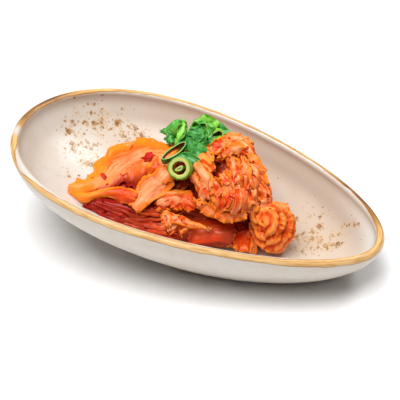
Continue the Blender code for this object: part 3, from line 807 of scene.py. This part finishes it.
def balled_leaves(bm, heart, radii, flow, rows, length, half, seed, facing, reach):
    """Crumpled leaf ends in rows over a ball. Each runs over the ball's skin the way that flow points."""
    rng = np.random.default_rng(seed)
    heart, radii, front = np.array(heart, float), np.array(radii, float), unit(np.array(facing, float))
    level = unit(np.cross(front, [0.1, 0.2, 1]))
    rising = np.cross(level, front)
    for ring, count in enumerate(rows):
        for i in range(count):
            lean_out = reach * (ring + 0.25 * rng.uniform(-1, 1)) / max(len(rows) - 1, 1)
            swing = 2 * np.pi * (i + 0.5 * (ring % 2) + 0.25 * rng.uniform(-1, 1)) / count
            sideways = level * math.cos(swing) + rising * math.sin(swing)
            way = front * math.cos(lean_out) + math.sin(lean_out) * sideways
            run = np.array(flow, float) + 0.45 * rng.normal(size=3)
            run = unit(run - way * run.dot(way))
            stretch = length * rng.uniform(0.75, 1.15)
            spine, looks = [], []
            for k in range(4):
                along = unit(way + run * (k / 3 - 0.5) * stretch / radii.mean())
                lift = 1 + 0.05 * rng.uniform(-1, 1)
                spine.append(heart + radii * along * lift)
                looks.append(unit(along / radii) + 0.25 * rng.normal(size=3))
            wide = half * rng.uniform(0.75, 1.2)
            cup, left, right = rng.uniform(-0.3, 0.1), rng.uniform(-0.5, 0.5), rng.uniform(-0.5, 0.5)
            lumpy, waves, tone = rng.uniform(0.5, 0.9), rng.uniform(2.5, 4.5), 0.35 + rng.uniform(-0.15, 0.2)
            cut_leaf(bm, spine, [wide * 0.7, wide, wide, wide * 0.75], looks, seed * 40 + ring * 12 + i, tone,
                     thick=(0.9, 0.7), cup=cup, curl=(left, right), lumpy=lumpy, lump=(2.4, 5), waves=waves,
                     ruffle=(0.9, 0.9), frill=0.4, hem=0.7, ragged=0.12, fringe=0.8, crumple=0.8, fine=0.1,
                     rib=(0.6, 0.6), blunt=8, along=56, across=18)


bm = new_mesh(LEAF_LAYERS)
balled_leaves(bm, (-9, 8, 19), (38, 24, 18), (1, 0, -0.25), (3, 6, 7), 24, 7.5, 51, (-0.05, 0.85, 0.5), 1.15)
balled_leaves(bm, (-38, 4, 21), (13, 12, 8), (0.3, 0.9, 0), (1, 5), 18, 6, 52, (-0.6, 0.6, 0.2), 1)
leaves(bm, dict(thick=(1.6, 1), cup=0.15, pleats=1.6, depth=0.9, ruffle=(1, 0.8), waves=6, frill=0.6,
                crumple=0.8, rib=(0.8, 0.5), gild=1.5), [
    (54, 0.4, [(-0.4, 0.6, 0.6), (-0.1, 0.8, 0.6)], (3.5, 5, 6, 6.2, 6, 5), [(-50, -5, 24), (-46.5, 3, 27.5),
     (-43, 9.5, 30), (-38, 14.5, 32.5), (-31, 16, 34), (-24, 15.5, 35)]),
])
behind = leaves_to_piece("kimchi_back_leaves", bm)


# ---- The sauce on the leaves ----
# Chilli paste thinned by the cabbage's own brine. It is thick and dark in the hollows between the leaves,
# and thin where they stand proud. The darker hollows and valleys and the paler crests are also painted shade
# and painted light, and so are the darker colours of leaves that lie in shade.

PALE_STEM, PINK_STEM, PEACH = shade(248, 172, 122), shade(238, 126, 68), shade(244, 126, 44)
ORANGE, RED_ORANGE, GOLDEN = shade(238, 98, 20), shade(206, 50, 12), shade(246, 142, 34)
# These darker colours serve for sauce and also as painted shade.
SAUCE_SHADE_BROWN, DEEP_RED, MAROON = shade(170, 62, 30), shade(146, 18, 10), shade(116, 8, 10)
HOLLOW_REACH, HALF_HIDDEN = 0.0034, 0.42


def hollows(pieces):
    """Writes how far food hems in each place, from a raster of millimetres, as a layer called hollow."""
    start = np.array([-0.075, -0.05, -0.004])
    places = [of_verts(piece.data, "co") for piece in pieces]
    full = np.zeros((150, 100, 68))
    cells = np.round((np.concatenate(places) - start) / MM).astype(int)
    full[tuple(cells.T)] = 1
    for _ in range(3):
        for way in range(3):
            full = (np.roll(full, 1, way) + full + np.roll(full, -1, way)) / 3
    for piece, mine in zip(pieces, places):
        spots = (mine + of_verts(piece.data, "normal") * HOLLOW_REACH - start) / MM
        low = np.floor(spots).astype(int)
        part = spots - low
        value = np.zeros(len(mine))
        for corner in np.ndindex(2, 2, 2):
            weight = np.prod(np.where(corner, part, 1 - part), axis=1)
            value += weight * full[tuple((low + corner).T)]
        write_layer(piece.data, "hollow", value / HALF_HIDDEN)


sauced, tree, shader = new_material("kimchi", Roughness=0.36, Specular_IOR_Level=0.07, Coat_Weight=0.2,
                                    Coat_Roughness=0.1, Subsurface_Weight=0.1, Subsurface_Scale=0.002)
shader.inputs["Subsurface Radius"].default_value = (1, 0.35, 0.15)
tone = attribute("tone")
fold = attribute("fold")
run = node("CombineXYZ", {0: times(attribute("lengthwise"), 0.1), 1: attribute("crosswise")}).outputs[0]
streaks = noise_of(run, 1.1, 3, 0.4)
blotches = clouds(0.007, 3, 0.5)
grains = clouds(0.0016, 3, 0.3)
stem = tint(ramp(streaks, 0.25, 0.75), PINK_STEM, PALE_STEM)
stem = tint(ramp(blotches, 0.45, 0.75), stem, PEACH)
leaf = tint(ramp(streaks, 0.25, 0.75), RED_ORANGE, ORANGE)
paleness = swayed(swayed(attribute("pale"), streaks, 0.5), grains, 0.4)
# Paler on the crests of folds: partly thinner sauce, partly painted light.
paleness = sums("MULTIPLY_ADD", fold, 0.25, paleness)
colour = tint(ramp(paleness, 0.25, 1), leaf, stem)
reddened = swayed(tone, blotches, 1)
colour = tint(ramp(reddened, 0.2, 1, 0, 0.85), colour, RED_ORANGE)
edge_near = swayed(attribute("margin"), blotches, 1)
gilded = times(ramp(edge_near, 1.1, 0.1, 0, 0.8), ramp(tone, 0.4, 1.1, 1, 0.1))
colour = tint(gilded, colour, GOLDEN)
# Redder in the valleys of folds: partly pooled sauce, partly painted shade.
valley = ramp(fold, 0.1, -1, 0, 0.7)
colour = tint(times(valley, ramp(tone, -0.5, 0, 0.4, 1)), colour, RED_ORANGE)
colour = tint(ramp(tone, 0, -0.15, 0, 0.5), colour, PEACH)
# Brown and deep red for high tones and valleys: sauce, and painted shade.
soaked_and_shaded = tint(sums("MAXIMUM", valley, ramp(reddened, 1, 1.7)), SAUCE_SHADE_BROWN, DEEP_RED)
colour = tint(ramp(reddened, 0.7, 1.2, 0, 0.85), colour, soaked_and_shaded)
# Deep red and maroon where other food hems a place in: thick sauce, and painted shade.
hemmed = sums("MULTIPLY_ADD", tone, 0.4, swayed(attribute("hollow"), grains, 0.4))
colour = tint(ramp(hemmed, 0.8, 1.55, 0, 0.7), colour, DEEP_RED)
colour = tint(ramp(hemmed, 1.5, 2, 0, 0.8), colour, MAROON)
coat_with(colour, sums("ADD", times(streaks, 0.6), times(grains, 0.6)), 0.16, 0.0005)

kimchi_pieces = [packed, stems, low_leaves, ends, crumpled, rolled, behind]
hollows(kimchi_pieces)
for piece in kimchi_pieces:
    piece.data.materials.clear()
    piece.data.materials.append(sauced)
    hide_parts("kimchi")
    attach(piece, "root")


# ---- The chilli flakes ----
# Crushed dried chilli from the paste: thin, ragged chips of dark red skin that stuck where they fell. Two
# large ones lie on the broad stem.

FLAKES, FLAKE_THICKNESS, SPECK, TOWARD = 45, 0.28, (0.45, 0.35), (0.25, -0.7, 0.66)
DROP, CHIP_LIFT = 0.03, 0.0001

# All the faces of the heap, for finding where a chip lands.
places, faces = [], []
for piece in kimchi_pieces:
    faces += [[len(places) + i for i in face.vertices] for face in piece.data.polygons]
    places += [vert.co.copy() for vert in piece.data.vertices]
food = BVHTree.FromPolygons(places, faces)


def flake(bm, above, way, size, seed):
    """A chip of chilli skin, laid down along a way on the food under a place."""
    way = Vector(way).normalized()
    hit, normal, _, _ = food.ray_cast(Vector(at(above)) + way * DROP, -way)
    if hit is None:
        return
    made = bmesh.ops.create_icosphere(bm, subdivisions=3 if max(size) > 1 else 2, radius=1)["verts"]
    ways = np.array([vert.co for vert in made])
    ragged = 1 + 0.35 * hum(ways * [1, 1, 0.2], 0.5, seed)
    chip = ways * np.array([size[0], size[1], FLAKE_THICKNESS]) * ragged[:, None]
    chip[:, 2] += 0.25 * hum(ways * [1, 1, 0], 0.9, seed + 1) * max(size) * 0.4
    turned = Matrix.Rotation(seed * 2.4, 3, "Z")
    laid = np.array(normal.to_track_quat("Z", "X").to_matrix() @ turned)
    for vert, place in zip(made, chip @ laid.T):
        vert.co = hit + normal * CHIP_LIFT + Vector(place * MM)


bm = new_mesh()
for seed, spot, size in (
        (1, (-27, 5, 38), (2.9, 2.3)), (2, (-24.6, 6, 38.5), (1.5, 1.2)), (3, (-45, -7, 31), (1.9, 0.9)),
        (10, (-35, -7, 34), SPECK), (11, (-34, -5, 34), SPECK), (12, (-36.5, -6, 33.5), SPECK),
        (13, (-20, 2, 38), SPECK), (14, (-50, -8, 29), SPECK)):
    flake(bm, spot, TOWARD, size, seed)
rng = np.random.default_rng(77)
for i in range(FLAKES):
    spot = (rng.uniform(-50, 44), rng.uniform(-16, 26), 40)
    size = rng.uniform(0.25, 0.7)
    flake(bm, spot, (0, rng.uniform(-0.7, 0.7), 1), (size, size * rng.uniform(0.5, 1)), 20 + i)
flakes = new_piece("chilli_flakes", bm)
chilli, tree, shader = new_material("dried_chilli", Roughness=0.5, Specular_IOR_Level=0.15)
skin = tint(ramp(clouds(0.0015, 2, 0.3), 0.35, 0.65), shade(204, 34, 14), shade(158, 16, 8))
tree.links.new(skin, shader.inputs["Base Color"])
flakes.data.materials.append(chilli)
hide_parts("kimchi")
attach(flakes, "root")


# ---- The spring onion ----
# Short slices of the hollow leaf and of its paler shank, cut across with a knife. Each is a tube with a
# smooth green skin, a pale cut face and a moist inside. The thin ones curl and crumple.

ONION_AROUND, ONION_SECTION = 96, 28
ONION_LAYERS = ("skin", "cut") + LEAF_LAYERS


def onion_tube(bm, seed, tone, centre, axis, radii, length, wall, crumple, lobes=3, pale_cut=1.0, flare=0.0,
               roll=0):
    """A slice of a hollow leaf: a tube round an axis, with both cut faces a little rounded at their edges."""
    frame_of = np.array(Vector(axis).to_track_quat("Z", "Y").to_matrix() @ Matrix.Rotation(roll, 3, "Z"))
    made = bmesh.ops.create_grid(bm, x_segments=ONION_AROUND, y_segments=ONION_SECTION, size=0.5)["verts"]
    turn = 2 * np.pi * (np.array([vert.co.x for vert in made]) + 0.5)
    run = 4 * ((np.array([vert.co.y for vert in made]) + 0.5) % 1)
    leg, part = run.astype(int), run % 1
    soft = 0.5 - 0.5 * np.cos(np.pi * part)
    height = np.choose(leg, [soft - 0.5, np.full_like(part, 0.5), 0.5 - soft, np.full_like(part, -0.5)])
    depth = np.choose(leg, [np.zeros_like(part), soft, np.ones_like(part), 1 - soft])
    bulge = np.where(leg % 2 == 1, 0.08 * wall * np.sin(np.pi * part), 0)
    height = height * length + np.sign(height) * bulge
    around = np.stack([np.cos(turn) * 4, np.sin(turn) * 4, height], 1)
    shape = 1 + crumple * np.cos(lobes * turn + 4 * height / length + seed) + flare * height / length
    shape += 0.5 * crumple * hum(around, 3.5, seed) + 0.02 * hum(around, 1.5, seed + 1)
    level = np.stack([(radii[0] - depth * wall) * np.cos(turn), (radii[1] - depth * wall) * np.sin(turn)], 1)
    local = np.concatenate([level * shape[:, None], height[:, None]], 1)
    set_verts(bm, made, at(np.array(centre, float) + local @ frame_of.T), {
        "skin": np.where(leg == 0, 1, 1 - depth),
        "cut": np.where(leg % 2 == 1, pale_cut, 0),
        "tone": np.full_like(turn, tone),
        "lengthwise": height,
        "crosswise": turn * max(radii) + 5 * seed,
    })


BLADE = dict(thick=(0.3, 0.6), cup=0.1, lumpy=0.3, lump=(2.5, 4), ruffle=(1, 1), frill=0.4, crumple=0.9,
             fine=0.05, gild=0.7, along=64, across=18)


def onion_blade(bm, seed, tone, looks, half_widths, spine, edge=1.2, pale=0.8, **folds):
    """A torn or slit piece of the hollow leaf: a thin green sheet, pale along its cut edges."""
    there = set(bm.verts)
    cut_leaf(bm, spine, half_widths, looks, seed, tone, **BLADE | folds)
    skin, cut, margin = [bm.verts.layers.float[name] for name in ("skin", "cut", "margin")]
    for vert in bm.verts:
        if vert not in there:
            vert[skin] = 1.0
            vert[cut] = min(max(edge - vert[margin], 0), pale)


LEAF_GREEN, DARK_GREEN, BRIGHT_GREEN = shade(62, 156, 52), shade(6, 120, 58), shade(132, 204, 58)
CUT_PALE, INNER, RIM_GREEN = shade(196, 200, 104), shade(172, 190, 84), shade(86, 146, 36)
SAUCED_INSIDE = shade(150, 82, 34)

onion_skin, tree, shader = new_material("spring_onion", Roughness=0.42, Coat_Weight=0.12, Coat_Roughness=0.15,
                                        Subsurface_Weight=0.2, Subsurface_Scale=0.0015)
shader.inputs["Subsurface Radius"].default_value = (0.5, 1, 0.2)
tone, skin = attribute("tone"), attribute("skin")
fibres = node("CombineXYZ", {0: attribute("crosswise"), 1: times(attribute("lengthwise"), 0.08)}).outputs[0]
fibre = noise_of(fibres, 2.2, 2)
deepness = swayed(tone, clouds(0.004, 2, 0.4), 0.8)
green = tint(ramp(deepness, 0, 0.5), BRIGHT_GREEN, LEAF_GREEN)
green = tint(ramp(deepness, 0.45, 1), green, DARK_GREEN)
green = tint(ramp(fibre, 0.35, 0.65, 0, 0.35), green, BRIGHT_GREEN)
inside = tint(ramp(deepness, 0.2, 0.9), INNER, LEAF_GREEN)
inside = tint(ramp(tone, 1.1, 1.4), inside, SAUCED_INSIDE)
colour = tint(skin, inside, green)
cut_colour = tint(ramp(skin, 0.55, 0.95), CUT_PALE, RIM_GREEN)
cut_colour = tint(ramp(deepness, 0.35, 0.7, 0, 0.85), cut_colour, LEAF_GREEN)
colour = tint(attribute("cut"), colour, cut_colour)
coat_with(colour, fibre, 0.2, 0.0003)


def onion_piece(name, bm, *nodes):
    """Closes the slices, makes them one piece and lets it stand for its nodes."""
    bmesh.ops.remove_doubles(bm, verts=bm.verts, dist=2e-6)
    bmesh.ops.recalc_face_normals(bm, faces=bm.faces)
    piece = new_piece(name, bm)
    piece.data.materials.append(onion_skin)
    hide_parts(*nodes)
    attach(piece, "root")


bm = new_mesh(ONION_LAYERS)
onion_tube(bm, 1, 0.3, (-7, -3.7, 43.2), (0.16, -0.78, 0.6), (5.5, 5.4), 5.6, 2.2, crumple=0.02, flare=-0.04)
onion_piece("onion_ring_front_slice", bm, "onion_ring_front")
bm = new_mesh(ONION_LAYERS)
onion_tube(bm, 2, 0.2, (-6.6, -4.6, 43.6), (0.1, -0.8, 0.6), (2.2, 1.1), 4.6, 0.9, crumple=0.08, roll=0.6)
onion_piece("onion_ring_core_slice", bm, "onion_ring_core")
bm = new_mesh(ONION_LAYERS)
onion_tube(bm, 3, 1.5, (-13.2, 4.3, 44.9), (0.22, -0.42, 0.88), (7.2, 2.2), 4.5, 0.6, crumple=0.05, roll=0.58)
onion_blade(bm, 30, 0.9, (0.1, -0.75, 0.65), (2, 2.4, 2.4, 1.4), [(-11.5, 2, 42.6), (-8.5, 3, 44.6),
            (-4.5, 3.5, 45), (-0.5, 3, 42.5)], ruffle=(0.3, 0.3), crumple=0.4)
onion_piece("onion_ring_flat_slice", bm, "onion_ring_flat")
bm = new_mesh(ONION_LAYERS)
onion_tube(bm, 4, 0.4, (-17.2, 19, 46.8), (0.96, -0.28, 0.1), (3.4, 4.4), 4, 0.8, crumple=0.07)
for seed, tone, wide, spine in (
        (50, 0.55, (1.2, 2.2, 2.5, 1.2), ((-17.5, 12, 43.5), (-20, 15.5, 46), (-19.5, 19, 48.5),
                                          (-17, 22.5, 51))),
        (51, -0.05, (0.9, 2, 2.3, 1.5), ((-15.5, 10.5, 44.5), (-15.3, 14.5, 46.8), (-15, 18.5, 49),
                                         (-15.5, 22, 51.2))),
        (31, 0.9, (0.6, 2, 1.8), ((-25, 17, 45.5), (-21.5, 16.5, 46.3), (-18.5, 16, 46.5))),
        (32, 1, (0.8, 1.8, 1.6), ((-22.5, 14.5, 43.8), (-19.5, 13, 44.2), (-17, 13, 43.8)))):
    onion_blade(bm, seed, tone, (-0.05, -0.8, 0.6), wide, spine, cup=-0.35)
onion_blade(bm, 52, 0.1, (0.2, -0.8, 0.6), (0.4, 0.6, 0.6, 0.4), [(-13.1, 18.2, 50.3), (-12.1, 14.7, 49.1),
            (-12.3, 11.2, 47.5), (-13.5, 7.4, 46)], edge=3, pale=1)
onion_piece("onion_curl_left_slice", bm, "onion_curl_left")
bm = new_mesh(ONION_LAYERS)
for seed, tone, centre, axis, radii, crumple, lobes, pale_cut in (
        (5, 0.6, (-5.5, 19.2, 49), (-0.1, -0.75, 0.65), (5.2, 4.6), 0.13, 5, 0.15),
        (6, 0.95, (-8, 13.5, 47), (-0.45, -0.7, 0.5), (4.6, 3), 0.16, 4, 0.1),
        (7, 0.9, (-1.5, 13.5, 46.8), (0.35, -0.75, 0.5), (3.2, 3.6), 0.18, 3, 0.1)):
    onion_tube(bm, seed, tone, centre, axis, radii, 5, 0.6, crumple, lobes, pale_cut)
for seed, tone, wide, spine in (
        (33, 0, (2.2, 4, 4, 2.4), ((-10, 20.5, 48.5), (-7, 23.5, 51), (-3.5, 24.5, 51.5),
                                   (-0.5, 22.5, 49.5))),
        (34, 0.35, (2, 3.2, 2), ((-8, 20, 49.5), (-4.5, 20.5, 50.3), (-1, 20, 49))),
        (35, 0.95, (2.2, 3.6, 3.6, 2.4), ((-11.5, 14.5, 46.5), (-7.5, 13, 47.8), (-3.5, 12, 47.3),
                                          (0.5, 12, 46))),
        (36, 0.8, (1.4, 2.4, 2.6, 1.8), ((-8.5, 9.5, 44.8), (-5, 9, 45.4), (-1.5, 9.5, 45.4), (2, 11.5, 45))),
        (37, 0.85, (2.2, 3.4, 2.8), ((-11, 17.5, 48), (-7, 16.5, 49.5), (-3, 16, 49.3))),
        (38, 0.75, (2.2, 3.2, 2), ((-4, 16.5, 49), (-0.5, 16, 48.6), (3, 15, 46.8)))):
    onion_blade(bm, seed, tone, (0.15, -0.8, 0.6), wide, spine, crumple=1.2, ragged=0.2)
onion_piece("onion_curl_back_slices", bm, "onion_curl_back")
bm = new_mesh(ONION_LAYERS)
onion_tube(bm, 8, 0.1, (2.4, 21, 47.4), (0.25, -0.8, 0.5), (3, 3.2), 5, 0.8, crumple=0.12, pale_cut=0.6)
onion_blade(bm, 53, 0.85, (0.2, -0.7, 0.65), (2, 3.2, 3.2, 1.6), [(-2, 24.5, 46.5), (1, 25, 47.5),
            (4, 24, 47.5), (6.5, 21.5, 46)])
onion_blade(bm, 54, -0.1, (0.25, -0.75, 0.6), (1.2, 2, 1.6), [(0.5, 16.5, 46.5), (3, 17.5, 47.4),
            (5.5, 20, 47.8)])
onion_piece("onion_curl_right_slice", bm, "onion_curl_right")


# ---- The table, the light and the camera ----
# A plain white table under one big soft box overhead, a little to the front and left, with a weak one behind
# it. The camera looks down at the bowl from its front, a little to the right.

bm = new_mesh()
bmesh.ops.create_grid(bm, x_segments=1, y_segments=1, size=1.5)
table = new_piece("table", bm)
white, tree, shader = new_material("white_table", Roughness=0.9)
shader.inputs["Base Color"].default_value = (0.93, 0.93, 0.93, 1)
table.data.materials.append(white)

CAMERA_TURN, CAMERA_RISE, CAMERA_AWAY, LENS = 20.8, 38.4, 0.6, 114.7
look_at = Vector((0.0014, -MIDDLE_Y, 0.0241))


def placed(name, data, turn, rise, away):
    """Puts a light or camera where it faces the food, at degrees from the front and above the table."""
    turn, rise = math.radians(turn), math.radians(rise)
    way = Vector((math.sin(turn) * math.cos(rise), -math.cos(turn) * math.cos(rise), math.sin(rise)))
    thing = bpy.data.objects.new(name, data)
    thing.location = look_at + away * way
    thing.rotation_euler = way.to_track_quat("Z", "Y").to_euler()
    bpy.context.scene.collection.objects.link(thing)
    return thing


lens = bpy.data.cameras.new("camera")
lens.lens = LENS
lens.clip_start = 0.01
bpy.context.scene.camera = placed("camera", lens, CAMERA_TURN, CAMERA_RISE, CAMERA_AWAY)
for name, turn, rise, size, watts in (("key_light", -30, 76, 0.9, 20), ("back_light", 150, 45, 0.3, 4)):
    lamp = bpy.data.lights.new(name, "AREA")
    lamp.size = size
    lamp.energy = watts
    placed(name, lamp, turn, rise, 1.1)
world = bpy.data.worlds.new("studio")
world.use_nodes = True
world.node_tree.nodes["Background"].inputs["Color"].default_value = (1, 0.88, 0.87, 1)
world.node_tree.nodes["Background"].inputs["Strength"].default_value = 0.04
bpy.context.scene.world = world
bpy.context.scene.view_settings.view_transform = "Standard"
